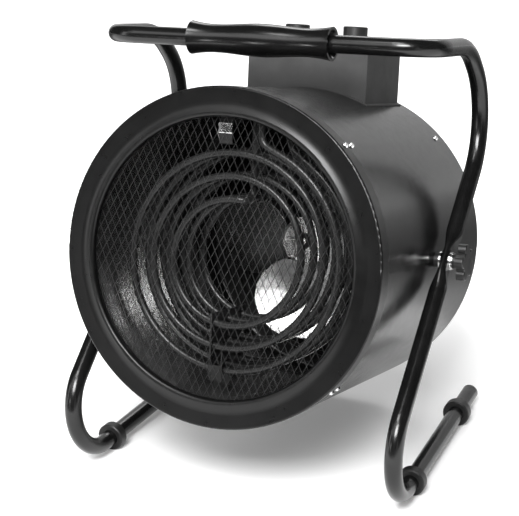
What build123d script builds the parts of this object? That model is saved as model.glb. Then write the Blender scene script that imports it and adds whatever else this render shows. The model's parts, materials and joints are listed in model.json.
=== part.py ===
from build123d import *
from math import asin, cos, dist, hypot, pi, radians, sin, sqrt, tan
import os

# A drum shaped forced air heater in a bent tube stand.  Millimetres, +Z up, outlet towards -Y.
# The origin lies on the floor, under the middle of the heater's depth and width.

# ---------------------------------------------------------------- clearances
running = 0.05              # radial, shaft in bore
seat = 0.1                  # between a piece and what it is pushed on to
gap = 0.3                   # between pieces that move past each other

# ---------------------------------------------------------------- driving dimensions
# drum; distances along its axis are measured forward from the pivot
drum_tilt = 13.4            # nose-up angle of the drum in its rest pose, degrees
shell_radius = 175.4        # outside of the casing
shell_sheet = 1.0
shell_front = 172.0
shell_back = -143.5
bezel_front = 175.9
bezel_skirt = 20.0          # how far the bezel laps back over the casing
bezel_sheet = 1.0
bezel_radius = shell_radius + bezel_sheet + seat
bezel_face = 30.8           # width of the bezel's flat face
lip_radius = bezel_radius - bezel_face      # clear radius inside the bezel's rolled lip
lip_round = 4.0
lip_stand = 2.4             # how far the lip stands ahead of the bezel's face
lip_lean = 24.0             # steepest slope from the face up to the lip, degrees
bezel_edge = 2.0            # rounding of the bezel's outer edge
rear_ring_back = -167.6
rear_ring_step = 0.8        # how far the rear ring lies inside the casing
rear_ring_radius = shell_radius - rear_ring_step
rear_ring_edge = 7.0        # rounding of the rear ring's outer edge
rear_rim = 22.6             # width of the rear ring's flat rim
rear_opening = rear_ring_radius - rear_rim
ring_tongue = 16.0          # how far the rear ring slides into the casing
grille_front = 170.6
grille_thick = 1.0
mesh_width = 17.3           # diamond gaps, across and up
mesh_height = 34.3
mesh_lean = -2.65           # degrees from the drum's upright
mesh_wire = 1.7
mesh_margin = 2.0           # from a gap's corner to the grille's edge
liner_sheet = 0.8
liner_clear = 3.3           # from the bezel's lip out to the liner
liner_radius = lip_radius + liner_clear
grille_radius = liner_radius - liner_sheet - 2 * seat
liner_front = grille_front - grille_thick       # the grille is held between lip and liner
liner_back = -10.0
spacer_diameter = 10.0

# heating elements: tubes wound as flat spirals, one behind another
element_tube = 8.0
coil_clear = 29.0           # from the liner in to the first half turn
coil_radius = liner_radius - coil_clear
coil_step = 12.0            # inward per half turn after the first
coil_half_turns = 6
coil_front = 147.0          # plane of the foremost spiral
coil_pitch = 35.0           # from one spiral to the next
coil_return = 18.0          # how far behind its spiral an inner end runs out again
leg_pitch = 18.0            # across, from a returning or an incoming leg to the next
leg_outermost = 8.4         # from the box's side to the nearest incoming leg
exit_gap = 14.0             # across, from the nearest incoming leg to a returning one
leg_bend = 14.0
tight_bend = 8.6
lead_in = 24.0              # straight run from a leg's foot into its spiral
terminal_row = -60.0        # where the legs turn up into the control box
terminal_lift = 20.6        # above the casing
terminal_height = shell_radius + terminal_lift
terminal_post = 9.0
comb_across = -16.0         # comb plate that carries the spirals
comb_sheet = 2.0
comb_edge = 8.0             # plate left ahead of, behind and above the tubes
comb_below = 6.0            # plate left below the outermost tube
comb_flange = (15.5, 16.0)  # across and up: the front edge folded over the outermost tube
comb_finger = (1.6, 14.0)   # wide and high, standing on the flange
post_row = 119.9            # the foot that carries the comb plate on the liner
post_width = 17.5
post_outside = 10.0         # part of the foot's width left of the comb plate
tab_width = 8.0             # tab of the foot in its slot in the liner
tab_reach = 3.0             # below the liner
spare_slot_row = 62.1       # second slot, left free
bushing_wall = 3.0
bushing_height = 8.0

# fan and motor
fan_clear = 36.0            # from the rear opening in to the blade tips
fan_radius = rear_opening - fan_clear
fan_middle = -56.0
fan_plate = 28.0            # radius of the fan's flat middle
hub_radius = 8.5
hub_stand = 5.0             # ahead of the fan's plate
hub_length = 22.0
hub_round = 1.5
hub_flange = (14.0, 3.0)    # radius and length of the shoulder behind the plate
blade_count = 4
blade_sheet = 1.6
blade_start = 18.0          # where the blades' round outlines would begin
blade_round = (fan_radius - blade_start) / 2        # radius of a blade's outline
blade_steps = 9
blade_arc = (25.0, 162.0)   # along the outline from its innermost point, degrees
blade_first = -2.0          # degrees from the right
blade_pitches = (-28.0, -19.0)          # at the root and at the tip
motor_radius = 41.0
motor_round = 4.0
motor_front = -86.0
motor_back = -156.0
shaft_diameter = 8.0
bearing_diameter = 22.0
bearing_width = 7.0
bearing_depth = 3.0         # from the housing's end to its bearing
motor_plate = 2.0
plate_margin = 4.0          # bracket plate outside the motor
arm_width = 18.0
foot_length = 8.0
motor_screw_inset = 12.0
guard_wire = 2.6            # thickness of the guard, and width of its spokes
guard_rings = 9
guard_eye = 20.0            # radius of the innermost ring
guard_band = 12.0           # width of the flat rings
slot_width = 6.0            # of the round slots in the motor's plate, each behind a ring of the guard
slot_rows = 6

# control box on the rear half of the drum
box_width = 144.8
box_front = -33.0
box_back = -143.0
box_lift = 46.6             # lid above the casing
box_top = shell_radius + box_lift           # above the drum axis
box_sheet = 1.2
box_corner = 2.0
box_edge = 1.5
base_sheet = 1.4
base_lip = 3.0              # flange of the base outside the cover
knob_diameter = 28.0
knob_height = 24.0
knob_stand = 2.0            # knob's underside above the lid
pointer_width = 2.0
pointer_depth = 0.8
knob_spacing = 71.4
knob_row = -87.0
spindle_diameter = 6.0
spindle_depth = 16.0        # below the lid
bushing_diameter = 10.0
bushing_stand = 1.5
switch_size = (34.0, 34.0, 24.0)        # across, along and deep
thermostat_size = (42.0, 34.0, 22.0)
gland_inset = 32.4          # from the box's side to the middle of the gland
gland_across = box_width / 2 - gland_inset
gland_lift = 16.6           # above the casing
gland_height = shell_radius + gland_lift
gland_diameter = 22.0
gland_length = 20.0
gland_collar = 6.0
gland_thread = 16.0
gland_inside = 12.0
gland_nut_height = 5.0
cable_diameter = 11.0
block_size = (52.0, 16.0, 16.0)
block_inset = 8.4           # from the box's side to the terminal block
block_across = block_inset + block_size[0] / 2 - box_width / 2
block_ahead_of_back = 22.0
box_screw_inset = 14.0
bulb_across = 20.0
bulb_diameter = 6.0
bulb_length = 30.0
bulb_inset = 7.4            # from the casing's outside to the middle of the bulb
bulb_radius = shell_radius - bulb_inset
capillary = 2.0
capillary_run = 20.0
cutout_angle = 107.0
cutout_forward = 30.0
cutout_diameter = 16.0
cutout_height = 9.0

# stand; distances ahead and above are measured from the pivot
tube_diameter = 19.0
tube_wall = 1.5
stand_clear = 12.1          # from the casing to the middle of a leg
stand_half_width = shell_radius + stand_clear
runner_toe_in = 14.0        # rear end of a runner, inward of its front end
foot_ring_diameter = 31.0
foot_ring_length = 12.5
foot_flat = 0.5
pivot_above_runner = 213.4
leg_slope = 36.9            # degrees above level, rising towards the rear
front_bend = 53.5
knee_reach = 205.5          # along the leg from the pivot
knee_bend = 80.0
shoulder_back = 80.0
shoulder_up = 217.0
shoulder_bend = 80.0
handle_ahead = 41.0
handle_up = 239.8
handle_bend = 40.0
pinch_thick = 8.6           # a leg is pressed flat where its stud passes through
pinch_width = 24.8
pinch_crown = 0.9           # how far the oval would stand past each flat
pinch_half = 12.0           # half length pressed fully flat
pinch_run = 28.0            # from there back to the round tube
pinch_steps = 5
runner_end_back = 128.5
front_ring_ahead = 107.5
rear_ring_behind = 72.5
grip_length = 160.0
grip_end_radius = 17.8
grip_waist_radius = 14.9
grip_belly_radius = 17.5
grip_waist_at = 55.0
grip_mouth = 15.0           # radius of the open mouth at each end
grip_mouth_depth = 8.0
sleeve_length = 90.0
plug_cap = 2.5
plug_round = 2.0
plug_depth = 12.0
ring_edge = 1.2

# pivots
stud_diameter = 8.0
stud_past_nut = 3.0
washer_diameter = 20.0
washer_thick = 2.1
pivot_spacer_diameter = 16.0
star_diameter = 41.0
star_thick = 9.5
star_hub_diameter = 16.0
star_hub_length = 6.0
star_lobes = 5
lobe_radius = 6.5
nut_across = 15.0
nut_height = 8.0

# fasteners
screw_head = 7.0
screw_head_height = 2.0
screw_shank = 3.6
screw_length = 5.0
screw_angles = (45, 135, 225, 315)
spoke_angles = (0, 90, 180, 270)
bezel_screw_inset = 15.2    # from the bezel's front edge
rear_screw_inset = 9.5      # from the casing's rear edge
front_screw_inset = 27.2    # from the liner's front edge
bezel_screw_row = bezel_front - bezel_screw_inset
rear_screw_row = shell_back + rear_screw_inset
liner_screw_row = liner_front - front_screw_inset

# places worked out from the sizes above
leg_radius = (liner_radius + shell_radius - shell_sheet) / 2    # legs run back between liner and casing
leg_inmost = box_width / 2 - leg_outermost - 2 * leg_pitch
coil_exit = leg_inmost - exit_gap           # across: where an inner end turns back
coil_legs = [                               # across: incoming and returning leg
    (leg_inmost + number * leg_pitch, coil_exit - number * leg_pitch) for number in range(3)
]
under_lid = box_top - box_sheet - seat

# ---------------------------------------------------------------- frame
tilt = radians(drum_tilt)
gland_top = gland_height + gland_diameter / 2
front_reach = bezel_front * cos(tilt) + bezel_radius * sin(tilt)
back_reach = (gland_length - box_back) * cos(tilt) + gland_top * sin(tilt)
pivot_y = (front_reach - back_reach) / 2
runner_z = foot_ring_diameter / 2 - foot_flat
pivot_z = runner_z + pivot_above_runner
pivot = Vector(0, pivot_y, pivot_z)

# across (x), up (y) and forward (z) in the drum's own directions
drum = Plane(origin=pivot, x_dir=(1, 0, 0), z_dir=(0, -cos(tilt), sin(tilt)))
drum_axis = Axis(pivot, drum.z_dir)
# half section of the drum: forward (x) and outward (y)
section = Plane(origin=pivot, x_dir=drum.z_dir, z_dir=(-1, 0, 0))
# seen from above the drum: across (x) and backward (y)
roof = Plane(origin=pivot, x_dir=(1, 0, 0), z_dir=drum.y_dir)
# across the stand, for the pivots
across = Plane(origin=pivot, x_dir=(0, 1, 0), z_dir=(1, 0, 0))


def radial(angle, forward):
    """Plane whose normal points outward from the drum axis at an angle from the right."""
    outward = drum.x_dir * cos(radians(angle)) + drum.y_dir * sin(radians(angle))
    return Plane(origin=pivot + drum.z_dir * forward, x_dir=drum.z_dir, z_dir=outward)


def screw_planes(*rows):
    """Planes on the drum axis that look outward along each screw of some rows."""
    return [radial(angle, forward) for forward in rows for angle in screw_angles]


# ---------------------------------------------------------------- stand
runner_y = pivot_above_runner / tan(radians(leg_slope))     # ahead of the pivot


def runner_point(side, behind):
    """Point on a runner's centre line, a distance behind the pivot."""
    share = (behind + runner_y) / (runner_end_back + runner_y)
    return Vector(side * (stand_half_width - runner_toe_in * share), pivot_y + behind, runner_z)


def leg_plane(side, along):
    """Plane square to a leg, a distance up along it from its stud; its y axis points across the stand."""
    slope = radians(leg_slope)
    middle = pivot + Vector(side * stand_half_width, along * cos(slope), along * sin(slope))
    return Plane(origin=middle, x_dir=(0, sin(slope), -cos(slope)), z_dir=(0, cos(slope), sin(slope)))


def pressed(share, thick_round, thick_flat):
    """Value between the round tube (share 0) and the leg pressed flat (share 1)."""
    eased = share ** 2 * (3 - 2 * share)
    return thick_round + (thick_flat - thick_round) * eased


def pinch_stations(side, end):
    """Planes from the round tube to the flat at one end of the pressed length, each with its share."""
    shares = [step / pinch_steps for step in range(pinch_steps + 1)]
    return [(leg_plane(side, end * (pinch_half + pinch_run * (1 - share))), share) for share in shares]


def stand_tube(side):
    width = side * stand_half_width
    radius = tube_diameter / 2
    round_from = pinch_half + pinch_run
    ovals = (
        (pinch_width / 2, pinch_thick / 2 + pinch_crown, radius, Mode.ADD),
        (pinch_width / 2 - tube_wall, pinch_thick / 2 - tube_wall, radius - tube_wall, Mode.SUBTRACT),
    )
    with BuildPart() as tube:
        for wide, thin, round_radius, mode in ovals:
            for end in (-1, 1):
                for plane, share in pinch_stations(side, end):
                    with BuildSketch(plane):
                        Ellipse(pressed(share, round_radius, wide), pressed(share, round_radius, thin))
                loft(mode=mode)
            with BuildSketch(leg_plane(side, -pinch_half)):
                Ellipse(wide, thin)
            extrude(amount=2 * pinch_half, mode=mode)
        # the oval's crowns come off, down to the two flats
        for face in (-1, 1):
            for end in (-1, 1):
                for plane, share in pinch_stations(side, end):
                    near = pressed(share, radius + seat, pinch_thick / 2)
                    with BuildSketch(plane):
                        with Locations((0, face * (near + tube_diameter / 2))):
                            Rectangle(2 * pinch_width, tube_diameter)
                loft(mode=Mode.SUBTRACT)
            with BuildSketch(leg_plane(side, -pinch_half)):
                with Locations((0, face * (pinch_thick / 2 + tube_diameter / 2))):
                    Rectangle(2 * pinch_width, tube_diameter)
            extrude(amount=2 * pinch_half, mode=Mode.SUBTRACT)
        with BuildLine() as lower:
            FilletPolyline(
                runner_point(side, runner_end_back), runner_point(side, -runner_y),
                leg_plane(side, -round_from).origin, radius=front_bend,
            )
        with BuildSketch(Plane(origin=lower.line @ 0, z_dir=lower.line % 0)):
            Circle(radius)
            Circle(radius - tube_wall, mode=Mode.SUBTRACT)
        sweep(path=lower.wire())
        with BuildLine() as upper:
            FilletPolyline(
                leg_plane(side, round_from).origin,
                leg_plane(side, knee_reach).origin,
                (width, pivot_y + shoulder_back, pivot_z + shoulder_up),
                (width, pivot_y - handle_ahead, pivot_z + handle_up),
                (0, pivot_y - handle_ahead, pivot_z + handle_up),
                radius=[knee_bend, shoulder_bend, handle_bend],
            )
        with BuildSketch(Plane(origin=upper.line @ 0, z_dir=upper.line % 0)):
            Circle(radius)
            Circle(radius - tube_wall, mode=Mode.SUBTRACT)
        sweep(path=upper.wire())
        with BuildSketch(across.offset(width)):
            Circle(stud_diameter / 2 + running)
        extrude(amount=tube_diameter, both=True, mode=Mode.SUBTRACT)
    return tube


stand_tube_left = stand_tube(-1)
stand_tube_right = stand_tube(1)

handle_centre = Vector(0, pivot_y - handle_ahead, pivot_z + handle_up)
handle_plane = Plane(origin=handle_centre, x_dir=(0, 1, 0), z_dir=(1, 0, 0))
handle_section = Plane(origin=handle_centre, x_dir=(1, 0, 0), z_dir=(0, -1, 0))

with BuildPart() as handle_sleeve:
    with BuildSketch(handle_plane.offset(-sleeve_length / 2)):
        Circle(tube_diameter / 2 - tube_wall - seat)
        Circle(tube_diameter / 2 - 2 * tube_wall - seat, mode=Mode.SUBTRACT)
    extrude(amount=sleeve_length)

with BuildPart() as handle_grip:
    half = grip_length / 2
    bore = tube_diameter / 2 + seat
    with BuildSketch(handle_section):
        with BuildLine():
            top = Spline(
                (-half, grip_end_radius), (-grip_waist_at, grip_waist_radius), (0, grip_belly_radius),
                (grip_waist_at, grip_waist_radius), (half, grip_end_radius),
            )
            Polyline(
                top @ 1, (half, grip_mouth), (half - grip_mouth_depth, bore),
                (grip_mouth_depth - half, bore), (-half, grip_mouth), top @ 0,
            )
        make_face()
    revolve(axis=Axis(handle_centre, (1, 0, 0)))

with BuildPart() as foot_rings:
    for side in (-1, 1):
        heading = runner_point(side, 0) - runner_point(side, -1)
        for behind in (-front_ring_ahead, rear_ring_behind):
            ring_plane = Plane(origin=runner_point(side, behind), z_dir=heading)
            with BuildSketch(ring_plane):
                Circle(foot_ring_diameter / 2)
                Circle(tube_diameter / 2 + seat, mode=Mode.SUBTRACT)
            extrude(amount=foot_ring_length / 2, both=True)
    rims = foot_rings.edges().filter_by(GeomType.CIRCLE)
    chamfer(rims.filter_by(lambda rim: rim.radius > tube_diameter / 2 + 1), length=ring_edge)
    with BuildSketch(Plane.XY):
        Rectangle(4 * stand_half_width, 8 * stand_half_width)
    extrude(amount=-foot_ring_diameter, mode=Mode.SUBTRACT)

with BuildPart() as tube_end_plugs:
    for side in (-1, 1):
        end = runner_point(side, runner_end_back)
        heading = runner_point(side, 0) - runner_point(side, -1)
        with BuildSketch(Plane(origin=end, z_dir=heading)):
            Circle(tube_diameter / 2)
        extrude(amount=plug_cap)
        with BuildSketch(Plane(origin=end, z_dir=-heading)):
            Circle(tube_diameter / 2 - tube_wall - seat)
        extrude(amount=plug_depth)
    rims = tube_end_plugs.edges().filter_by(GeomType.CIRCLE).group_by(Axis.Y)[-1]
    fillet(rims, radius=plug_round)

# ---------------------------------------------------------------- drum casing
leg_places = [(x, -terminal_row) for legs in coil_legs for x in legs]
knob_places = [(-knob_spacing / 2, -knob_row), (knob_spacing / 2, -knob_row)]
with BuildPart() as casing_shell:
    with BuildSketch(drum.offset(shell_back)):
        Circle(shell_radius)
        Circle(shell_radius - shell_sheet, mode=Mode.SUBTRACT)
    extrude(amount=shell_front - shell_back)
    with BuildSketch(across):
        Circle(stud_diameter / 2 + seat)
    extrude(amount=shell_radius + 1, both=True, mode=Mode.SUBTRACT)
    with BuildSketch(roof):
        with Locations(*leg_places):
            Circle(element_tube / 2 + 1)
        with Locations((bulb_across, -knob_row)):
            Circle(capillary / 2 + 1)
    extrude(amount=shell_radius + 1, mode=Mode.SUBTRACT)
    for plane in screw_planes(bezel_screw_row, rear_screw_row, liner_screw_row):
        with BuildSketch(plane):
            Circle(screw_shank / 2 + seat)
        extrude(amount=shell_radius + 1, mode=Mode.SUBTRACT)

lip_outer = lip_radius + bezel_sheet
lip_middle = (bezel_front + lip_stand - lip_round, lip_radius + lip_round)
cove_radius = lip_stand / (1 - cos(radians(lip_lean))) - lip_round      # hollow between face and lip


def around(middle, radius, angle):
    """A point round another in the half section; the angle runs from forward to outward."""
    return (middle[0] + radius * cos(radians(angle)), middle[1] + radius * sin(radians(angle)))


cove_middle = around(lip_middle, lip_round + cove_radius, lip_lean)
with BuildPart() as front_bezel:
    with BuildSketch(section):
        with BuildLine():
            inside = bezel_radius - bezel_sheet
            edge_middle = (bezel_front - bezel_edge, bezel_radius - bezel_edge)
            Line((bezel_front - bezel_skirt, inside), (bezel_front - bezel_skirt, bezel_radius))
            Line((bezel_front - bezel_skirt, bezel_radius), around(edge_middle, bezel_edge, 90))
            ThreePointArc(*[around(edge_middle, bezel_edge, angle) for angle in (90, 45, 0)])
            Line(around(edge_middle, bezel_edge, 0), around(cove_middle, cove_radius, 180))
            cove_angles = (180, 180 + lip_lean / 2, 180 + lip_lean)
            lip_angles = (lip_lean, lip_lean / 2 - 45, -90)
            ThreePointArc(*[around(cove_middle, cove_radius, angle) for angle in cove_angles])
            ThreePointArc(*[around(lip_middle, lip_round, angle) for angle in lip_angles])
            Polyline(
                around(lip_middle, lip_round, -90), (grille_front, lip_radius), (grille_front, lip_outer),
                around(lip_middle, lip_round - bezel_sheet, -90),
            )
            ThreePointArc(*[around(lip_middle, lip_round - bezel_sheet, angle) for angle in lip_angles])
            ThreePointArc(*[around(cove_middle, cove_radius + bezel_sheet, angle) for angle in cove_angles])
            Polyline(
                around(cove_middle, cove_radius + bezel_sheet, 180), (bezel_front - bezel_sheet, inside),
                (bezel_front - bezel_skirt, inside),
            )
        make_face()
    revolve(axis=drum_axis)
    for plane in screw_planes(bezel_screw_row):
        with BuildSketch(plane):
            Circle(screw_shank / 2 + seat)
        extrude(amount=bezel_radius + 1, mode=Mode.SUBTRACT)

with BuildPart() as rear_ring:
    with BuildSketch(section):
        with BuildLine():
            rim = rear_ring_radius
            flange = rear_ring_back + shell_sheet
            inside = rim - shell_sheet
            bend = rear_ring_edge - shell_sheet
            turn = (1 - cos(pi / 4))
            Line((shell_back, inside), (shell_back, rim))
            Line((shell_back, rim), (rear_ring_back + rear_ring_edge, rim))
            ThreePointArc(
                (rear_ring_back + rear_ring_edge, rim),
                (rear_ring_back + rear_ring_edge * turn, rim - rear_ring_edge * turn),
                (rear_ring_back, rim - rear_ring_edge),
            )
            Line((rear_ring_back, rim - rear_ring_edge), (rear_ring_back, rear_opening))
            Line((rear_ring_back, rear_opening), (flange, rear_opening))
            Line((flange, rear_opening), (flange, inside - bend))
            ThreePointArc(
                (flange, inside - bend),
                (flange + bend * turn, inside - bend * turn),
                (flange + bend, inside),
            )
            Line((flange + bend, inside), (shell_back, inside))
        make_face()
    revolve(axis=drum_axis)
    # tongue that slides into the casing
    with BuildSketch(drum.offset(shell_back - rear_ring_edge)):
        Circle(shell_radius - shell_sheet - seat)
        Circle(shell_radius - 2 * shell_sheet - seat, mode=Mode.SUBTRACT)
    extrude(amount=rear_ring_edge + ring_tongue)
    for plane in screw_planes(rear_screw_row):
        with BuildSketch(plane):
            Circle(screw_shank / 2 + seat)
        extrude(amount=shell_radius, mode=Mode.SUBTRACT)

with BuildPart() as front_grille:
    with BuildSketch(drum.offset(grille_front - grille_thick)):
        Circle(grille_radius)
        columns = int(2 * grille_radius / mesh_width) + 1
        rows = int(2 * grille_radius / mesh_height) + 1
        gaps = []
        for row in range(-2 * rows, 2 * rows + 1):
            for column in range(-columns, columns + 1):
                x = (column + (row % 2) / 2) * mesh_width
                y = row * mesh_height / 2
                corner = max(hypot(x, abs(y) + mesh_height / 2), hypot(abs(x) + mesh_width / 2, y))
                if corner < grille_radius - mesh_margin:
                    gaps.append(Rot(Z=mesh_lean) * Pos(x, y))
        # a wire's thickness cuts this much off half a gap, across and up
        wire_share = mesh_wire / 2 * hypot(mesh_width, mesh_height)
        half_w = mesh_width / 2 - wire_share / mesh_height
        half_h = mesh_height / 2 - wire_share / mesh_width
        with Locations(*gaps):
            Polygon((half_w, 0), (0, half_h), (-half_w, 0), (0, -half_h), mode=Mode.SUBTRACT)
    extrude(amount=grille_thick)
print("mesh gaps", len(gaps))

with BuildPart() as inner_liner:
    with BuildSketch(drum.offset(liner_back)):
        Circle(liner_radius)
        Circle(liner_radius - liner_sheet, mode=Mode.SUBTRACT)
    extrude(amount=liner_front - liner_back)
    with BuildSketch(roof):
        inner = coil_radius - coil_step * (coil_half_turns - 1)
        for number, (incoming, returning) in enumerate(coil_legs):
            plane_at = coil_front - number * coil_pitch
            crossing = coil_exit + (returning - coil_exit) * (liner_radius - inner) / (leg_radius - inner)
            with Locations((incoming, -plane_at), (crossing, coil_return - plane_at)):
                Circle(element_tube / 2 + 2)
    extrude(amount=liner_radius + 1, mode=Mode.SUBTRACT)
    # slots at the bottom for the foot of the comb plate
    with BuildSketch(roof):
        with Locations((comb_across, -post_row), (comb_across, -spare_slot_row)):
            Rectangle(tab_width + 2 * seat, comb_sheet + 2 * seat)
    extrude(amount=-liner_radius - 1, mode=Mode.SUBTRACT)

with BuildPart() as liner_spacers:
    for plane in screw_planes(liner_screw_row):
        with BuildSketch(plane):
            Circle(spacer_diameter / 2)
        extrude(amount=shell_radius)
    with BuildSketch(drum.offset(liner_back)):
        Circle(shell_radius - shell_sheet - seat / 2)
        Circle(liner_radius + seat / 2, mode=Mode.SUBTRACT)
    extrude(amount=liner_front - liner_back, mode=Mode.INTERSECT)
    for plane in screw_planes(liner_screw_row):
        with BuildSketch(plane.offset(shell_radius - screw_length - 1)):
            Circle(screw_shank / 2 + seat)
        extrude(amount=screw_length + 1, mode=Mode.SUBTRACT)


def shell_screws(rows, radius):
    """Low domed screws whose heads lie on a drum of one radius."""
    with BuildPart() as group:
        for plane in screw_planes(*rows):
            with BuildSketch(plane.offset(radius)):
                Circle(screw_head / 2)
            extrude(amount=screw_head_height, taper=20)
            with BuildSketch(plane.offset(radius)):
                Circle(screw_shank / 2)
            extrude(amount=-screw_length)
    return group


bezel_screws = shell_screws([bezel_screw_row], bezel_radius)
liner_screws = shell_screws((liner_screw_row,), shell_radius)
rear_screws = shell_screws([rear_screw_row], shell_radius)


# ---------------------------------------------------------------- heating elements
def leg_height(x):
    """Height above the axis at which a leg runs back between liner and casing."""
    return sqrt(leg_radius ** 2 - x ** 2)


def coil_end(half_turn):
    """Radius of the spiral after a number of half turns from its top."""
    return coil_radius - coil_step * max(0, half_turn - 1)


def least_gap(route, diameter):
    """Least gap of a tube to itself, between points along its centre line."""
    steps = 900
    points = [tuple(route @ (step / steps)) for step in range(steps + 1)]
    apart = int(3 * diameter * steps / route.length)
    nearest = min(dist(points[i], points[j]) for i in range(steps) for j in range(i + apart, steps + 1))
    return nearest - diameter


def heating_element(number):
    plane_at = coil_front - number * coil_pitch
    behind = plane_at - coil_return
    incoming, returning = coil_legs[number]
    start = Vector(incoming + lead_in, sqrt(coil_radius ** 2 - (incoming + lead_in) ** 2), plane_at)
    # the lead-in is tangent to the spiral's first arc
    heading = Vector(start.Y, -start.X, 0) * (1 / coil_radius)
    foot = start - heading * (lead_in / heading.X)
    with BuildPart() as element:
        with BuildLine(drum) as route:
            FilletPolyline(
                (incoming, terminal_height, terminal_row), (incoming, leg_height(incoming), terminal_row),
                (incoming, leg_height(incoming), plane_at), tuple(foot), tuple(start),
                radius=[leg_bend, leg_bend, leg_bend],
            )
            halfway = (pi + asin(start.X / coil_radius)) / 2
            ThreePointArc(
                tuple(start), (coil_radius * sin(halfway), coil_radius * cos(halfway), plane_at),
                (0, -coil_radius, plane_at),
            )
            for half_turn in range(1, coil_half_turns):
                side = 1 if half_turn % 2 else -1
                before, after = coil_end(half_turn), coil_end(half_turn + 1)
                ThreePointArc(
                    (0, -side * before, plane_at),
                    (-side * (before + after) / 2, side * (after - before) / 2, plane_at),
                    (0, side * after, plane_at),
                )
            inner = coil_end(coil_half_turns)
            FilletPolyline(
                (0, inner, plane_at), (coil_exit, inner, plane_at), (coil_exit, inner, behind),
                (returning, leg_height(returning), behind), (returning, leg_height(returning), terminal_row),
                (returning, terminal_height, terminal_row),
                radius=[tight_bend, tight_bend, leg_bend, leg_bend],
            )
        with BuildSketch(Plane(origin=route.line @ 0, z_dir=route.line % 0)):
            Circle(element_tube / 2)
        sweep(path=route.wire())
    print("element", number, "least gap to itself", round(least_gap(route.wire(), element_tube), 2))
    return element


heating_element_front = heating_element(0)
heating_element_middle = heating_element(1)
heating_element_rear = heating_element(2)

with BuildPart() as element_comb:
    comb_plane = Plane(origin=drum.from_local_coords((comb_across, 0, 0)), x_dir=drum.z_dir, z_dir=(-1, 0, 0))
    comb_front = coil_front + comb_edge
    comb_back = coil_front - 2 * coil_pitch - comb_edge
    comb_top = -coil_end(5) + element_tube / 2 + comb_edge
    comb_foot = -coil_radius - element_tube / 2 - comb_below
    with BuildSketch(comb_plane):
        with BuildLine():
            Polyline(
                (comb_back, comb_foot), (comb_front, comb_foot), (comb_front, comb_top),
                (comb_back, comb_top), (comb_back, comb_foot),
            )
        make_face()
        for number in range(3):
            for half_turn in (1, 3, 5):
                plane_at = coil_front - number * coil_pitch
                before, after = coil_end(half_turn), coil_end(half_turn + 1)
                middle, reach = (after - before) / 2, (after + before) / 2
                with Locations((plane_at, middle - sqrt(reach ** 2 - comb_across ** 2))):
                    Circle(element_tube / 2 + 2 * gap, mode=Mode.SUBTRACT)
    extrude(amount=comb_sheet / 2, both=True)
    # front edge folded over the outermost tube, with an upright finger
    comb_left = comb_across - comb_sheet / 2
    with BuildSketch(drum.offset(comb_front - comb_sheet)):
        with Locations((comb_left, comb_foot)):
            Rectangle(*comb_flange, align=(Align.MIN, Align.MIN))
        with Locations((comb_left + comb_flange[0], comb_foot + comb_flange[1] - comb_sheet)):
            Rectangle(comb_finger[0], comb_finger[1] + comb_sheet, align=(Align.MAX, Align.MIN))
    extrude(amount=comb_sheet)
    # foot across the plate, cut to the liner, and its tab
    with BuildSketch(drum.offset(post_row - comb_sheet / 2)):
        with Locations((comb_across - post_outside, comb_foot + comb_edge)):
            Rectangle(post_width, liner_radius, align=(Align.MIN, Align.MAX))
        Circle(liner_radius - liner_sheet - seat, mode=Mode.INTERSECT)
        with Locations((comb_across, -liner_radius - tab_reach)):
            Rectangle(tab_width, 2 * tab_reach + comb_below, align=(Align.CENTER, Align.MIN))
    extrude(amount=comb_sheet)

saddle = shell_radius + base_sheet + 2 * seat       # what stands on the box's curved base is cut to this
with BuildPart() as element_bushings:
    for x, back in leg_places:
        with BuildSketch(roof):
            with Locations((x, back)):
                RegularPolygon(element_tube / 2 + bushing_wall, 6, rotation=30)
                Circle(element_tube / 2 + seat, mode=Mode.SUBTRACT)
        extrude(amount=sqrt(saddle ** 2 - x ** 2) + bushing_height)
    with BuildSketch(drum.offset(box_back)):
        Circle(saddle)
    extrude(amount=box_front - box_back, mode=Mode.SUBTRACT)

with BuildPart() as terminal_studs:
    for x, back in leg_places:
        with BuildSketch(roof.offset(terminal_height)):
            with Locations((x, back)):
                Circle(element_tube / 2 - 1)
        extrude(amount=terminal_post / 3)
        with BuildSketch(roof.offset(terminal_height)):
            with Locations((x, back)):
                Circle(element_tube / 4)
        extrude(amount=terminal_post)

# ---------------------------------------------------------------- fan and motor
bearing_rows = (motor_front - bearing_depth, motor_back + bearing_depth + bearing_width)
with BuildPart() as motor_housing:
    with BuildSketch(drum.offset(motor_back)):
        Circle(motor_radius)
    extrude(amount=motor_front - motor_back)
    fillet(motor_housing.edges().filter_by(GeomType.CIRCLE), radius=motor_round)
    with BuildSketch(drum.offset(motor_back)):
        Circle(shaft_diameter / 2 + 1)
    extrude(amount=motor_front - motor_back, mode=Mode.SUBTRACT)
    for forward in bearing_rows:
        with BuildSketch(drum.offset(forward)):
            Circle(bearing_diameter / 2 + seat / 2)
        extrude(amount=-bearing_width, mode=Mode.SUBTRACT)

with BuildPart() as motor_bearings:
    for forward in bearing_rows:
        with BuildSketch(drum.offset(forward)):
            Circle(bearing_diameter / 2)
            Circle(shaft_diameter / 2 + running, mode=Mode.SUBTRACT)
        extrude(amount=-bearing_width)

hub_front = fan_middle + blade_sheet / 2 + hub_stand
with BuildPart() as motor_shaft:
    shaft_back = motor_back + bearing_depth / 2
    with BuildSketch(drum.offset(shaft_back)):
        Circle(shaft_diameter / 2)
    extrude(amount=hub_front + shaft_diameter / 4 - shaft_back)
    chamfer(motor_shaft.edges().filter_by(GeomType.CIRCLE), length=shaft_diameter / 12)

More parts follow.
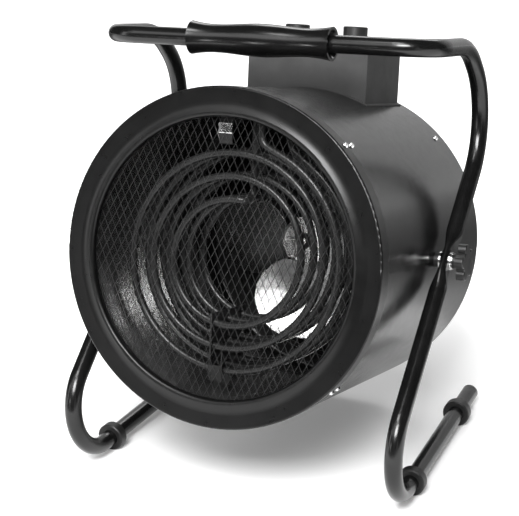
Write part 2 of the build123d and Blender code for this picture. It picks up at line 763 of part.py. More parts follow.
with BuildPart() as fan_hub:
    shoulder = fan_middle - blade_sheet / 2 - seat
    with BuildSketch(drum.offset(hub_front - hub_length)):
        Circle(hub_radius)
    extrude(amount=hub_length)
    with BuildSketch(drum.offset(shoulder)):
        Circle(hub_flange[0])
    extrude(amount=-hub_flange[1])
    front_edge = fan_hub.edges().filter_by(GeomType.CIRCLE).sort_by(drum_axis)[-1]
    fillet(front_edge, radius=hub_round)
    with BuildSketch(drum.offset(hub_front - hub_length)):
        Circle(shaft_diameter / 2)
    extrude(amount=hub_length, mode=Mode.SUBTRACT)

# one stamped sheet: a flat middle and twisted blades with round outlines
with BuildPart() as fan_blades:
    for blade in range(blade_count):
        angle = radians(blade_first + blade * 360 / blade_count)
        outward = drum.x_dir * cos(angle) + drum.y_dir * sin(angle)
        for step in range(blade_steps):
            share = step / (blade_steps - 1)
            turned = radians(blade_arc[0] + share * (blade_arc[1] - blade_arc[0]))
            pitch = blade_pitches[0] + share * (blade_pitches[1] - blade_pitches[0])
            radius = blade_start + blade_round * (1 - cos(turned))
            base = pivot + outward * radius + drum.z_dir * fan_middle
            with BuildSketch(Plane(origin=base, x_dir=drum.z_dir, z_dir=outward)):
                Rectangle(blade_sheet, 2 * blade_round * sin(turned) / cos(radians(pitch)), rotation=pitch)
        loft(ruled=True)
    with BuildSketch(drum.offset(fan_middle - blade_round)):
        Circle(fan_plate - blade_sheet)
    extrude(amount=2 * blade_round, mode=Mode.SUBTRACT)
    with BuildSketch(drum.offset(fan_middle)):
        Circle(fan_plate)
    extrude(amount=blade_sheet / 2, both=True)
    with BuildSketch(drum.offset(fan_middle)):
        Circle(hub_radius + seat)
    extrude(amount=blade_sheet, both=True, mode=Mode.SUBTRACT)

guard_back = rear_ring_back + shell_sheet       # the guard lies on the rear ring's flange
guard_front = guard_back + guard_wire
guard_radius = rear_ring_radius - rear_ring_edge - 2
ring_pitch = (guard_radius - guard_eye - guard_band) / (guard_rings - 1)
arm_reach = rear_opening + foot_length + plate_margin
with BuildPart() as motor_bracket:
    slot_outside = guard_radius - ring_pitch - (guard_band - slot_width) / 2
    with BuildSketch(drum.offset(motor_back)):
        Circle(slot_outside + plate_margin)
        for row in range(slot_rows):
            Circle(slot_outside - row * ring_pitch, mode=Mode.SUBTRACT)
            Circle(slot_outside - row * ring_pitch - slot_width)
        with Locations(*[Rot(Z=angle) * Pos(X=arm_reach / 2) for angle in screw_angles]):
            Rectangle(arm_reach, arm_width)
        Circle(shaft_diameter, mode=Mode.SUBTRACT)
    extrude(amount=-motor_plate)
    with BuildSketch(drum.offset(guard_front)):
        with Locations(*[Rot(Z=angle) * Pos(X=arm_reach - foot_length / 2) for angle in screw_angles]):
            Rectangle(foot_length, arm_width)
    extrude(amount=motor_back - guard_front)

with BuildPart() as motor_screws:
    places = [Rot(Z=angle) * Pos(X=motor_radius - motor_screw_inset) for angle in screw_angles]
    with BuildSketch(drum.offset(motor_back - motor_plate)):
        with Locations(*places):
            Circle(screw_head / 2)
    extrude(amount=-screw_head_height)

with BuildPart() as rear_guard:
    with BuildSketch(drum.offset(guard_back)):
        for ring in range(guard_rings):
            Circle(guard_radius - ring * ring_pitch)
            Circle(guard_radius - ring * ring_pitch - guard_band, mode=Mode.SUBTRACT)
        spoke = guard_radius - guard_eye + guard_wire
        with Locations(*[Rot(Z=angle) * Pos(X=guard_radius - spoke / 2) for angle in spoke_angles]):
            Rectangle(spoke, guard_wire)
    extrude(amount=guard_wire)

# ---------------------------------------------------------------- control box
box_rear = Plane(origin=drum.offset(box_back).origin, x_dir=drum.x_dir, z_dir=-drum.z_dir)
gland_plane = Plane(origin=drum.from_local_coords((gland_across, gland_height, box_back)), x_dir=(1, 0, 0),
                    z_dir=-drum.z_dir)
box_screw_places = [
    (side * (box_width / 2 - box_screw_inset), -terminal_height - lift * box_screw_inset)
    for side in (-1, 1) for lift in (-1, 1)
]
box_depth = box_front - box_back
box_middle = -(box_front + box_back) / 2
with BuildPart() as box_base:
    with BuildSketch(roof):
        with Locations((0, box_middle)):
            Rectangle(box_width + 2 * base_lip, box_depth + 2 * base_lip)
        with Locations(*leg_places):
            Circle(element_tube / 2 + 1, mode=Mode.SUBTRACT)
        with Locations((bulb_across, -knob_row)):
            Circle(capillary / 2 + 1, mode=Mode.SUBTRACT)
    extrude(amount=box_top)
    with BuildSketch(drum.offset(box_back - 2 * base_lip)):
        Circle(shell_radius + base_sheet + seat)
        Circle(shell_radius + seat, mode=Mode.SUBTRACT)
    extrude(amount=box_depth + 4 * base_lip, mode=Mode.INTERSECT)

with BuildPart() as control_box:
    with BuildSketch(roof):
        with Locations((0, box_middle)):
            Rectangle(box_width, box_depth)
    extrude(amount=box_top)
    fillet(control_box.edges().filter_by(Axis(pivot, roof.z_dir)), radius=box_corner)
    fillet(control_box.faces().sort_by(Axis(pivot, roof.z_dir))[-1].edges(), radius=box_edge)
    with BuildSketch(roof):
        with Locations((0, box_middle)):
            Rectangle(box_width - 2 * box_sheet, box_depth - 2 * box_sheet)
    extrude(amount=box_top - box_sheet, mode=Mode.SUBTRACT)
    with BuildSketch(drum.offset(box_back)):
        Circle(saddle)
    extrude(amount=box_depth, mode=Mode.SUBTRACT)
    with BuildSketch(roof.offset(box_top)):
        with Locations(*knob_places):
            Circle(bushing_diameter / 2 + seat)
    extrude(amount=-2 * box_sheet, mode=Mode.SUBTRACT)
    with BuildSketch(gland_plane):
        Circle(gland_thread / 2 + seat)
    extrude(amount=-2 * box_sheet, mode=Mode.SUBTRACT)
    with BuildSketch(box_rear):
        with Locations(*box_screw_places):
            Circle(screw_shank / 2 + seat)
    extrude(amount=-2 * box_sheet, mode=Mode.SUBTRACT)

with BuildPart() as cable_gland:
    with BuildSketch(gland_plane):
        RegularPolygon(gland_diameter / 2, 6)
    extrude(amount=gland_collar)
    with BuildSketch(gland_plane.offset(gland_collar)):
        Circle(gland_diameter / 2 - 2)
    extrude(amount=gland_length - gland_collar, taper=6)
    with BuildSketch(gland_plane):
        Circle(gland_thread / 2)
    extrude(amount=-gland_inside)
    with BuildSketch(gland_plane.offset(-gland_inside)):
        Circle(cable_diameter / 2)
    extrude(amount=gland_length + gland_inside, mode=Mode.SUBTRACT)

with BuildPart() as gland_nut:
    with BuildSketch(gland_plane.offset(-box_sheet - seat)):
        RegularPolygon(gland_diameter / 2, 6)
        Circle(gland_thread / 2 + seat, mode=Mode.SUBTRACT)
    extrude(amount=-gland_nut_height)

with BuildPart() as box_screws:
    with BuildSketch(box_rear):
        with Locations(*box_screw_places):
            Circle(screw_head / 2)
    extrude(amount=screw_head_height, taper=20)
    with BuildSketch(box_rear):
        with Locations(*box_screw_places):
            Circle(screw_shank / 2)
    extrude(amount=-screw_length)


def knob(place):
    """Turning knob with a finger ridge and its spindle."""
    with BuildPart() as body:
        with BuildSketch(roof.offset(box_top + gap + knob_stand)):
            with Locations(place):
                Circle(knob_diameter / 2)
        extrude(amount=knob_height - knob_stand)
        top_rim = body.edges().filter_by(GeomType.CIRCLE).sort_by(Axis(pivot, roof.z_dir))[-1]
        chamfer(top_rim, length=pointer_depth)
        with BuildSketch(roof.offset(box_top + gap + knob_height - pointer_depth)):
            with Locations((place[0], place[1] + knob_diameter / 4)):
                Rectangle(pointer_width, knob_diameter / 2)
        extrude(amount=2 * pointer_depth, mode=Mode.SUBTRACT)
        with BuildSketch(roof.offset(box_top - spindle_depth)):
            with Locations(place):
                Circle(spindle_diameter / 2)
        extrude(amount=spindle_depth + gap + 2 * knob_stand)
    return body


def bushing_body(place, size):
    """Switch body hung under the lid by its threaded bushing, with a bore for the spindle."""
    with BuildPart() as body:
        with BuildSketch(roof.offset(under_lid)):
            with Locations(place):
                Rectangle(size[0], size[1])
        extrude(amount=-size[2])
        with BuildSketch(roof.offset(under_lid)):
            with Locations(place):
                Circle(bushing_diameter / 2)
        extrude(amount=box_sheet + bushing_stand)
        with BuildSketch(roof.offset(box_top - spindle_depth - gap)):
            with Locations(place):
                Circle(spindle_diameter / 2 + running)
        extrude(amount=spindle_depth + knob_height, mode=Mode.SUBTRACT)
    return body


mode_knob = knob(knob_places[0])
thermostat_knob = knob(knob_places[1])
rotary_switch = bushing_body(knob_places[0], switch_size)
thermostat_body = bushing_body(knob_places[1], thermostat_size)

with BuildPart() as terminal_block:
    with BuildSketch(roof):
        with Locations((block_across, -box_back - block_ahead_of_back)):
            Rectangle(block_size[0], block_size[1])
    extrude(amount=saddle + block_size[2])
    with BuildSketch(drum.offset(box_back)):
        Circle(saddle)
    extrude(amount=box_depth, mode=Mode.SUBTRACT)

with BuildPart() as thermostat_bulb:
    with BuildLine(drum) as capillary_route:
        FilletPolyline(
            (bulb_across, under_lid - thermostat_size[2], knob_row), (bulb_across, bulb_radius, knob_row),
            (bulb_across, bulb_radius, knob_row - capillary_run),
            radius=2 * capillary,
        )
    with BuildSketch(Plane(origin=capillary_route.line @ 0, z_dir=capillary_route.line % 0)):
        Circle(capillary / 2)
    sweep(path=capillary_route.wire())
    with BuildSketch(Plane(origin=capillary_route.line @ 1, z_dir=-drum.z_dir)):
        Circle(bulb_diameter / 2)
    extrude(amount=bulb_length)

with BuildPart() as thermal_cutout:
    with BuildSketch(radial(cutout_angle, cutout_forward).offset(liner_radius)):
        Circle(cutout_diameter / 2)
    extrude(amount=cutout_height)

# ---------------------------------------------------------------- pivots
def washer_pair(start, thick, diameter):
    with BuildPart() as pair:
        for side in (-1, 1):
            with BuildSketch(across.offset(side * start)):
                Circle(diameter / 2)
                Circle(stud_diameter / 2 + seat, mode=Mode.SUBTRACT)
            extrude(amount=side * thick)
    return pair


tube_side = stand_half_width - pinch_thick / 2
tube_outside = stand_half_width + pinch_thick / 2
inner_washer_at = tube_side - gap - washer_thick
pivot_spacers = washer_pair(shell_radius, inner_washer_at - shell_radius, pivot_spacer_diameter)
inner_washers = washer_pair(inner_washer_at, washer_thick, washer_diameter)
outer_washers = washer_pair(tube_outside, washer_thick, washer_diameter)
lock_washers = washer_pair(tube_outside + washer_thick, washer_thick, washer_diameter - washer_thick)
hub_start = tube_outside + 2 * washer_thick + gap


def star_knob(side):
    with BuildPart() as star:
        with BuildSketch(across.offset(side * (hub_start + star_hub_length))):
            lobe_circle = star_diameter / 2 - lobe_radius
            Circle(lobe_circle)
            with PolarLocations(lobe_circle, star_lobes, start_angle=90):
                Circle(lobe_radius)
        extrude(amount=side * star_thick)
        fillet(star.edges().group_by(Axis.X)[-1 if side > 0 else 0], radius=1.5)
        with BuildSketch(across.offset(side * hub_start)):
            Circle(star_hub_diameter / 2)
        extrude(amount=side * (star_hub_length + 1))
        stud_start = shell_radius - shell_sheet - nut_height - stud_past_nut
        with BuildSketch(across.offset(side * stud_start)):
            Circle(stud_diameter / 2)
        extrude(amount=side * (hub_start + 1 - stud_start))
    return star


tilt_knob_left = star_knob(-1)
tilt_knob_right = star_knob(1)

with BuildPart() as pivot_nuts:
    nut_seat = sqrt((shell_radius - shell_sheet) ** 2 - (nut_across / 2) ** 2) - seat
    for side in (-1, 1):
        with BuildSketch(across.offset(side * nut_seat)):
            RegularPolygon(nut_across / 2, 6, major_radius=False)
            Circle(stud_diameter / 2 + running, mode=Mode.SUBTRACT)
        extrude(amount=-side * nut_height)

pieces = {
    "stand_tube_left": stand_tube_left,
    "stand_tube_right": stand_tube_right,
    "handle_sleeve": handle_sleeve,
    "handle_grip": handle_grip,
    "foot_rings": foot_rings,
    "tube_end_plugs": tube_end_plugs,
    "outer_washers": outer_washers,
    "lock_washers": lock_washers,
    "inner_washers": inner_washers,
    "pivot_spacers": pivot_spacers,
    "pivot_nuts": pivot_nuts,
    "tilt_knob_left": tilt_knob_left,
    "tilt_knob_right": tilt_knob_right,
    "casing_shell": casing_shell,
    "front_bezel": front_bezel,
    "rear_ring": rear_ring,
    "front_grille": front_grille,
    "rear_guard": rear_guard,
    "inner_liner": inner_liner,
    "liner_spacers": liner_spacers,
    "bezel_screws": bezel_screws,
    "liner_screws": liner_screws,
    "rear_screws": rear_screws,
    "heating_element_front": heating_element_front,
    "heating_element_middle": heating_element_middle,
    "heating_element_rear": heating_element_rear,
    "element_comb": element_comb,
    "element_bushings": element_bushings,
    "terminal_studs": terminal_studs,
    "motor_housing": motor_housing,
    "motor_bearings": motor_bearings,
    "motor_shaft": motor_shaft,
    "motor_bracket": motor_bracket,
    "motor_screws": motor_screws,
    "fan_hub": fan_hub,
    "fan_blades": fan_blades,
    "box_base": box_base,
    "control_box": control_box,
    "box_screws": box_screws,
    "cable_gland": cable_gland,
    "gland_nut": gland_nut,
    "mode_knob": mode_knob,
    "thermostat_knob": thermostat_knob,
    "rotary_switch": rotary_switch,
    "thermostat_body": thermostat_body,
    "thermostat_bulb": thermostat_bulb,
    "thermal_cutout": thermal_cutout,
    "terminal_block": terminal_block,
}
for label, piece in pieces.items():
    piece.part.label = label
    export_step(piece.part, f"parts/{label}.step")
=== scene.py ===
from math import cos, pi, radians, sin, sqrt
import json

import bmesh
import bpy
from mathutils import Matrix, Vector


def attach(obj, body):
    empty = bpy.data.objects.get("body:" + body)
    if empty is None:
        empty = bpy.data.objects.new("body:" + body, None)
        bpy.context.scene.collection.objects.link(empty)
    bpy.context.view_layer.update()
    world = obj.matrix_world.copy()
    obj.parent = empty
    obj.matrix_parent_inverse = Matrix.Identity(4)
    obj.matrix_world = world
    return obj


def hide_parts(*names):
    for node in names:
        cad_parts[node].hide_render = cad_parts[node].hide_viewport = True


MM = 0.001

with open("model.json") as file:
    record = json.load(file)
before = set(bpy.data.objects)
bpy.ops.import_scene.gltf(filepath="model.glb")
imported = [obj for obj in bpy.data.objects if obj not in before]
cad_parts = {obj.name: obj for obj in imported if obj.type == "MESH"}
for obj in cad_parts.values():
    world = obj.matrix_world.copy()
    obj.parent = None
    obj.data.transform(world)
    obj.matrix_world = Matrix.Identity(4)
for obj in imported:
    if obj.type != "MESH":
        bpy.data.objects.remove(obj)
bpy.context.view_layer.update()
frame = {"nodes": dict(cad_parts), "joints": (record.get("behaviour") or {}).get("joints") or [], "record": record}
nodes = frame["nodes"]
joints = {joint["name"]: joint for joint in frame["joints"]}

# the drum's own directions: across is world X, up points out of the control box, ahead runs out of the outlet
pivot = Vector(joints["heater_tilt"]["pos_m"])
ahead = Vector(joints["fan_spin"]["axis"]).normalized()
upward = Vector(joints["mode_turn"]["axis"]).normalized()

# camera, as solved from the photograph's frame of 519 by 516 pixels
photo_width, photo_height = 519, 516
focal_pixels = 1612.66
centre_pixel = (326.54, 289.38)
camera_yaw = radians(22.42)
camera_pitch = radians(20.57)
camera_roll = radians(-2.06)
pivot_in_view = (-0.0448, 0.0498, 1.8064)       # right of the lens axis, above it and ahead of the lens
sensor_width = 36.0
view_reach = 100                                # metres, past the edge of the floor


# ---------------------------------------------------------------- finishes
noise_range = (0.3, 0.7)                        # where most of a noise texture's values lie
noise_roughness = 0.55
drift_scale, drift_detail = 35.0, 4.0           # the slow drift of a finish's colour
sheen_scale, sheen_detail = 90.0, 4.0           # the drift of its roughness
grain_detail = 2.0


def grey(shade):
    return shade, shade, shade


def new_material(name):
    """A new material, with its node tree and its shader."""
    material = bpy.data.materials.new(name)
    material.use_nodes = True
    tree = material.node_tree
    shader = next(node for node in tree.nodes if node.type == "BSDF_PRINCIPLED")
    return material, tree, shader


def noise(tree, scale, detail):
    place = tree.nodes.new("ShaderNodeTexCoord")
    texture = tree.nodes.new("ShaderNodeTexNoise")
    texture.inputs["Scale"].default_value = scale
    texture.inputs["Detail"].default_value = detail
    texture.inputs["Roughness"].default_value = noise_roughness
    tree.links.new(place.outputs["Object"], texture.inputs["Vector"])
    return texture.outputs["Fac"]


def map_range(tree, value, given, wanted):
    """Maps a value from one (low, high) range on to another, and holds it inside."""
    node = tree.nodes.new("ShaderNodeMapRange")
    for socket, number in zip(("From Min", "From Max", "To Min", "To Max"), (*given, *wanted)):
        node.inputs[socket].default_value = number
    tree.links.new(value, node.inputs["Value"])
    return node.outputs["Result"]


def blend_colours(tree, value, first, second):
    node = tree.nodes.new("ShaderNodeMix")
    node.data_type = "RGBA"
    node.inputs["A"].default_value = (*first, 1)
    node.inputs["B"].default_value = (*second, 1)
    tree.links.new(value, node.inputs["Factor"])
    return node.outputs["Result"]


def bump(tree, shader, height, distance):
    node = tree.nodes.new("ShaderNodeBump")
    node.inputs["Distance"].default_value = distance
    tree.links.new(height, node.inputs["Height"])
    tree.links.new(node.outputs["Normal"], shader.inputs["Normal"])


def finish(name, dark, light, rough, grain, grain_depth, metallic, specular):
    """A finish with a slow drift of colour and roughness and a fine grain."""
    material, tree, shader = new_material(name)
    drift = map_range(tree, noise(tree, drift_scale, drift_detail), noise_range, (0, 1))
    tree.links.new(blend_colours(tree, drift, dark, light), shader.inputs["Base Color"])
    sheen = map_range(tree, noise(tree, sheen_scale, sheen_detail), noise_range, rough)
    tree.links.new(sheen, shader.inputs["Roughness"])
    shader.inputs["Metallic"].default_value = metallic
    shader.inputs["Specular IOR Level"].default_value = specular
    bump(tree, shader, noise(tree, grain, grain_detail), grain_depth)
    return material


# dark and light colour, roughness from and to, scale and depth of the grain, metallic, specular level
finishes = {
    "stand_paint": (grey(0.003), grey(0.005), (0.18, 0.25), 900, 0.00001, 0, 0.38),
    "drum_paint": (grey(0.004), grey(0.007), (0.2, 0.25), 1400, 0.00001, 0, 0.29),
    "bezel_paint": (grey(0.002), grey(0.004), (0.27, 0.32), 1400, 0.00001, 0, 0.24),
    "box_paint": (grey(0.04), grey(0.054), (0.5, 0.56), 1400, 0.00001, 0, 0.1),
    "grip_plastic": (grey(0.003), grey(0.004), (0.19, 0.24), 500, 0.00001, 0, 0.45),
    "knob_plastic": (grey(0.01), grey(0.016), (0.36, 0.46), 1400, 0.00002, 0, 0.4),
    "star_plastic": (grey(0.004), grey(0.008), (0.34, 0.44), 1400, 0.00002, 0, 0.35),
    "foot_rubber": (grey(0.006), grey(0.01), (0.42, 0.52), 900, 0.00003, 0, 0.35),
    "grille_wire": (grey(0.013), grey(0.02), (0.3, 0.4), 900, 0.00001, 0, 0.26),
    "guard_wire": (grey(0.004), grey(0.008), (0.4, 0.5), 900, 0.00001, 0, 0.2),
    "liner_steel": (grey(0.34), grey(0.44), (0.1, 0.15), 200, 0.000001, 0.95, 0.5),
    "element_tube": (grey(0.006), grey(0.012), (0.24, 0.3), 900, 0.000005, 0, 0.3),
    "bright_steel": (grey(0.6), grey(0.7), (0.15, 0.25), 900, 0.00001, 1, 0.5),
    "dark_steel": (grey(0.006), grey(0.01), (0.4, 0.5), 900, 0.00001, 0, 0.3),
    "fan_metal": (grey(0.58), grey(0.66), (0.2, 0.25), 400, 0.000001, 1, 0.5),
    "motor_steel": (grey(0.006), grey(0.01), (0.4, 0.5), 500, 0.00001, 0, 0.3),
    "inner_plastic": ((0.45, 0.43, 0.38), (0.52, 0.5, 0.45), (0.4, 0.5), 900, 0.00001, 0, 0.5),
    "gland_plastic": (grey(0.008), grey(0.014), (0.4, 0.5), 900, 0.00001, 0, 0.5),
}
materials = {name: finish(name, *values) for name, values in finishes.items()}
# the element comb's steel, darkened to near black: painted shade for the shadow that falls on the comb low in the
# drum
comb_painted_shade_steel = finish("comb_painted_shade_steel", grey(0.015), grey(0.03), (0.25, 0.32), 300, 0.00001, 0.8, 0.5)
for subpart in frame["record"]["subparts"]:
    for slot in nodes[subpart["node"]].material_slots:
        slot.material = comb_painted_shade_steel if subpart["node"] == "element_comb" else materials[subpart["material_slot"]]


# ---------------------------------------------------------------- pieces that the CAD leaves to this scene
# the drum's frame: millimetres across, up and ahead of the pivot
drum_frame = Matrix((Vector((1, 0, 0)), upward, ahead)).transposed().to_4x4()
drum_frame.translation = pivot


def drum_piece(name, parts, body, slot):
    """One piece from (points, faces) parts, given in the drum's frame in millimetres."""
    mesh = bmesh.new()
    for points, faces in parts:
        corners = [mesh.verts.new(Vector(point) * MM) for point in points]
        for face in faces:
            mesh.faces.new([corners[index] for index in face])
    bmesh.ops.recalc_face_normals(mesh, faces=mesh.faces)
    data = bpy.data.meshes.new(name)
    mesh.to_mesh(data)
    mesh.free()
    piece = bpy.data.objects.new(name, data)
    piece.matrix_world = drum_frame
    bpy.context.scene.collection.objects.link(piece)
    data.materials.append(materials[slot])
    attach(piece, body)
    return piece


def section_faces(sections, closed=False):
    """The faces along a row of four-cornered sections: round to the first one, or with a cap at each end."""
    faces = []
    for number in range(sections if closed else sections - 1):
        here, there = 4 * number, 4 * ((number + 1) % sections)
        faces += [(here + c, here + (c + 1) % 4, there + (c + 1) % 4, there + c) for c in range(4)]
    if not closed:
        last = 4 * (sections - 1)
        faces += [(0, 1, 2, 3), (last, last + 1, last + 2, last + 3)]
    return faces


# front grille: an expanded mesh in a thin rim
grille_radius = 147.9
grille_middle = 170.1                           # its place ahead of the pivot
grille_rim = 1.6
rim_steps = 96
strand_wide = 0.36
strand_deep = 0.8
strand_reach = 45                               # strands tried on each side of the crossing
cell_width, cell_height = 8.65, 17.15
cell_lean = radians(2.65)                       # clockwise, seen from the outlet
crossing = Vector((0.60, 7.92))                 # one crossing of two strands


def leaning(x, y):
    return Vector((x * cos(cell_lean) + y * sin(cell_lean), y * cos(cell_lean) - x * sin(cell_lean)))


def strand(start, end):
    """A straight flat strand between two points of the grille."""
    side = (end - start).normalized().orthogonal() * strand_wide / 2
    points = []
    for spot in (start, end):
        for across, depth in ((1, 1), (-1, 1), (-1, -1), (1, -1)):
            points.append((*(spot + side * across), grille_middle + strand_deep / 2 * depth))
    return points, section_faces(2)


def rim():
    """The flat ring round the strands."""
    inner, outer = grille_radius - grille_rim, grille_radius
    back, front = grille_middle - strand_deep / 2, grille_middle + strand_deep / 2
    section = ((inner, back), (outer, back), (outer, front), (inner, front))
    angles = [2 * pi * number / rim_steps for number in range(rim_steps)]
    points = [(radius * cos(angle), radius * sin(angle), depth) for angle in angles for radius, depth in section]
    return points, section_faces(rim_steps, closed=True)


def expanded_mesh():
    steps = (leaning(cell_width / 2, cell_height / 2), leaning(cell_width / 2, -cell_height / 2))
    parts = [rim()]
    for along, across in (steps, steps[::-1]):
        direction = along.normalized()
        normal = direction.orthogonal()
        for count in range(-strand_reach, strand_reach + 1):
            offset = (crossing + across * count).dot(normal)
            if abs(offset) < grille_radius - grille_rim:
                half = sqrt((grille_radius - grille_rim / 2) ** 2 - offset ** 2)
                parts.append(strand(normal * offset - direction * half, normal * offset + direction * half))
    return parts


grille = drum_piece("grille_mesh", expanded_mesh(), "heater", "grille_wire")
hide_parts("front_grille")

# hanger of the foremost spiral: a strap from the liner's top that hooks under the outermost turn, and its plate
strap_left, strap_right = -17.0, -2.0
strap_sheet = 1.2
strap_line = [(117.2, 145.0), (116.6, 148.0), (117.6, 150.8), (120.2, 152.4), (124.0, 152.8), (137.0, 152.8),
              (140.5, 151.6), (143.0, 149.4), (149.6, 149.0)]         # up and ahead
plate_sheet = 0.8
plate_line = [(128.0, 153.9), (128.8, 154.5), (137.2, 154.5), (138.0, 153.9)]


def strap(line, sheet):
    """A flat strap of even thickness along a line given as (up, ahead)."""
    corners = ((strap_left, 1), (strap_right, 1), (strap_right, -1), (strap_left, -1))
    points = []
    for number, (up, level) in enumerate(line):
        before, after = Vector(line[max(0, number - 1)]), Vector(line[min(len(line) - 1, number + 1)])
        aside = (after - before).normalized().orthogonal() * sheet / 2
        points += [(x, up + side * aside.x, level + side * aside.y) for x, side in corners]
    return points, section_faces(len(line))


# the strap takes the near-black dark steel: painted shade for the bezel lip's shadow over it; its plate keeps the
# bright steel
drum_piece("spiral_hanger", [strap(strap_line, strap_sheet)], "heater", "dark_steel")
drum_piece("hanger_plate", [strap(plate_line, plate_sheet)], "heater", "bright_steel")


# ---------------------------------------------------------------- lamps, each turned to the pivot
def aim(piece, spot):
    piece.rotation_euler = (Vector(spot) - piece.location).to_track_quat("-Z", "Y").to_euler()


def area_lamp(name, spot, width, height, power):
    """A rectangular lamp; its power is in watts."""
    lamp = bpy.data.objects.new(name, bpy.data.lights.new(name, "AREA"))
    lamp.data.shape = "RECTANGLE"
    lamp.data.size = width
    lamp.data.size_y = height
    lamp.data.energy = power
    lamp.location = spot
    bpy.context.scene.collection.objects.link(lamp)
    aim(lamp, pivot)


area_lamp("softbox_above", (0.42, -1.83, 1.82), 1.1, 0.85, 106)
area_lamp("softbox_fill", (-0.91, -1.6, 1.76), 1.3, 1.0, 10)
area_lamp("softbox_top", (-0.1, -1.0, 2.3), 0.9, 0.5, 20)
area_lamp("spot_low", (-0.49, -1.14, 0.333), 0.16, 0.16, 0.9)
area_lamp("softbox_left", (-2.2, -1.5, 0.9), 0.5, 1.6, 10)
area_lamp("softbox_behind", (-0.3, 1.9, 1.9), 1.6, 0.7, 16)


# ---------------------------------------------------------------- boards that only reflections show
board_roughness = 0.9
wall_distance = 3.4                             # of the pale board behind, where the ground's sheet ends
sheet_height = 0.003                            # of the sheets that lie just above the floor
# the ground behind as reflections show it: pale near the object, dark further back, grey in the distance
ground_start, ground_end = 0.28, 2.28           # world Y
ground_width = 7.0
ground_shades = ((0.0, 0.7), (0.08, 0.3), (0.14, 0.13), (0.32, 0.13), (0.6, 0.3), (1.0, 0.6))


def flat_sheet(name, width, height, material):
    outline = [(x * width / 2, y * height / 2, 0) for x, y in ((-1, -1), (1, -1), (1, 1), (-1, 1))]
    mesh = bpy.data.meshes.new(name)
    mesh.from_pydata(outline, [], [(0, 1, 2, 3)])
    mesh.materials.append(material)
    sheet = bpy.data.objects.new(name, mesh)
    bpy.context.scene.collection.objects.link(sheet)
    return sheet


def board(name, spot, width, height, material, flat=False):
    """A board that shows only in reflections and throws no shadow, turned to the pivot unless it lies flat."""
    panel = flat_sheet(name, width, height, material)
    panel.location = spot
    if not flat:
        aim(panel, pivot)
    panel.visible_camera = panel.visible_diffuse = panel.visible_shadow = False


def board_material(name, shade):
    material, tree, shader = new_material(name)
    shader.inputs["Base Color"].default_value = (*grey(shade), 1)
    shader.inputs["Roughness"].default_value = board_roughness
    return material


def ground_material():
    """A matt grey that follows ground_shades from ground_start to ground_end."""
    material, tree, shader = new_material("board_ground")
    shader.inputs["Roughness"].default_value = board_roughness
    place = tree.nodes.new("ShaderNodeNewGeometry")
    directions = tree.nodes.new("ShaderNodeSeparateXYZ")
    tree.links.new(place.outputs["Position"], directions.inputs["Vector"])
    ramp = tree.nodes.new("ShaderNodeValToRGB")
    tree.links.new(map_range(tree, directions.outputs["Y"], (ground_start, ground_end), (0, 1)), ramp.inputs["Fac"])
    stops = ramp.color_ramp.elements            # a new ramp has one stop at each end
    for spot, shade in ground_shades[1:-1]:
        stops.new(spot)
    for stop, (spot, shade) in zip(stops, ground_shades):
        stop.color = (*grey(shade), 1)
    tree.links.new(ramp.outputs["Color"], shader.inputs["Base Color"])
    return material


black = board_material("board_black", 0.02)
pale = board_material("board_pale", 0.9)
board("board_above", (0, 0, 2.8), 5.5, 5.5, black)
board("board_front", (-0.2, -3.0, 1.45), 6.5, 3.2, black)
board("board_low", (1.35, -2.8, 0.42), 1.1, 0.85, black)
board("board_left", (-2.9, 0, 1.3), 5.0, 2.6, black)
board("board_right", (2.9, 0, 1.3), 5.0, 2.6, black)
board("board_behind", (0.6, wall_distance, 1.2), 6.0, 2.0, pale)
board("board_ground_front", (-0.6, -2.2, sheet_height), 5.0, 2.4, black, flat=True)
board("board_ground", (0, (ground_start + wall_distance) / 2, sheet_height), ground_width,
      wall_distance - ground_start, ground_material(), flat=True)


# ---------------------------------------------------------------- world and floor
world_light, world_white = 0.4, 1.0             # as a light, and as the camera, gloss and glass see it
floor_size = 12.0
floor_shade = 0.85
floor_roughness = 0.8
glow_distance = (0.2, 0.5)                      # from the floor's middle, over which its glow rises
glow_strength = (0.12, 0.7)


def seen_plainly(tree):
    """1 for camera, glossy and transmission rays, else 0."""
    path = tree.nodes.new("ShaderNodeLightPath")
    total = path.outputs["Is Camera Ray"]
    for kind in ("Is Glossy Ray", "Is Transmission Ray"):
        node = tree.nodes.new("ShaderNodeMath")
        node.operation = "MAXIMUM"
        tree.links.new(total, node.inputs[0])
        tree.links.new(path.outputs[kind], node.inputs[1])
        total = node.outputs["Value"]
    return total


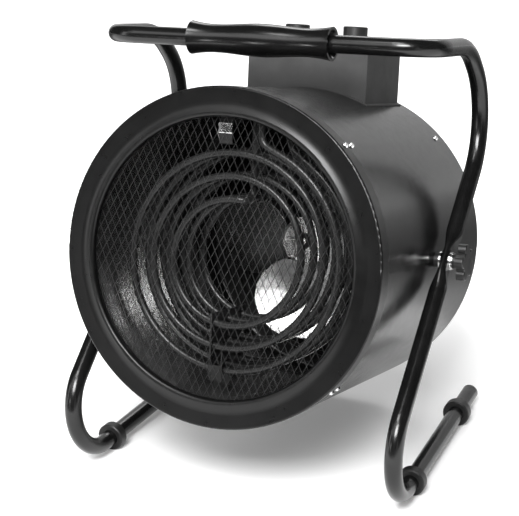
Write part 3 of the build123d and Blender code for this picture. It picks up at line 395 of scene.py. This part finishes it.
world = bpy.data.worlds.new("studio")
world.use_nodes = True
bpy.context.scene.world = world
background = next(node for node in world.node_tree.nodes if node.type == "BACKGROUND")
background.inputs["Color"].default_value = (*grey(1), 1)
world_strength = map_range(world.node_tree, seen_plainly(world.node_tree), (0, 1), (world_light, world_white))
world.node_tree.links.new(world_strength, background.inputs["Strength"])

floor_material, tree, shader = new_material("floor_pale")
shader.inputs["Base Color"].default_value = (*grey(floor_shade), 1)
shader.inputs["Roughness"].default_value = floor_roughness
shader.inputs["Emission Color"].default_value = (*grey(1), 1)
floor_place = tree.nodes.new("ShaderNodeTexCoord")
distance = tree.nodes.new("ShaderNodeVectorMath")
distance.operation = "LENGTH"
tree.links.new(floor_place.outputs["Object"], distance.inputs[0])
glow = tree.nodes.new("ShaderNodeMath")
glow.operation = "MULTIPLY"
tree.links.new(seen_plainly(tree), glow.inputs[0])
tree.links.new(map_range(tree, distance.outputs["Value"], glow_distance, glow_strength), glow.inputs[1])
tree.links.new(glow.outputs["Value"], shader.inputs["Emission Strength"])
floor = flat_sheet("floor", floor_size, floor_size, floor_material)


# ---------------------------------------------------------------- camera
camera = bpy.data.objects.new("camera", bpy.data.cameras.new("camera"))
bpy.context.scene.collection.objects.link(camera)
camera.data.sensor_width = sensor_width
camera.data.lens = focal_pixels * sensor_width / photo_width
camera.data.shift_x = (photo_width / 2 - centre_pixel[0]) / photo_width
camera.data.shift_y = (centre_pixel[1] - photo_height / 2) / photo_width
camera.data.clip_end = view_reach
back = Vector((sin(camera_yaw) * cos(camera_pitch), -cos(camera_yaw) * cos(camera_pitch), sin(camera_pitch)))
level_right = (-back).cross(Vector((0, 0, 1))).normalized()
level_up = level_right.cross(-back)
right = level_right * cos(camera_roll) + level_up * sin(camera_roll)
up = level_up * cos(camera_roll) - level_right * sin(camera_roll)
camera_place = pivot - right * pivot_in_view[0] - up * pivot_in_view[1] + back * pivot_in_view[2]
camera.matrix_world = Matrix.Translation(camera_place) @ Matrix((right, up, back)).transposed().to_4x4()
bpy.context.scene.camera = camera
bpy.context.scene.view_settings.view_transform = "Standard"
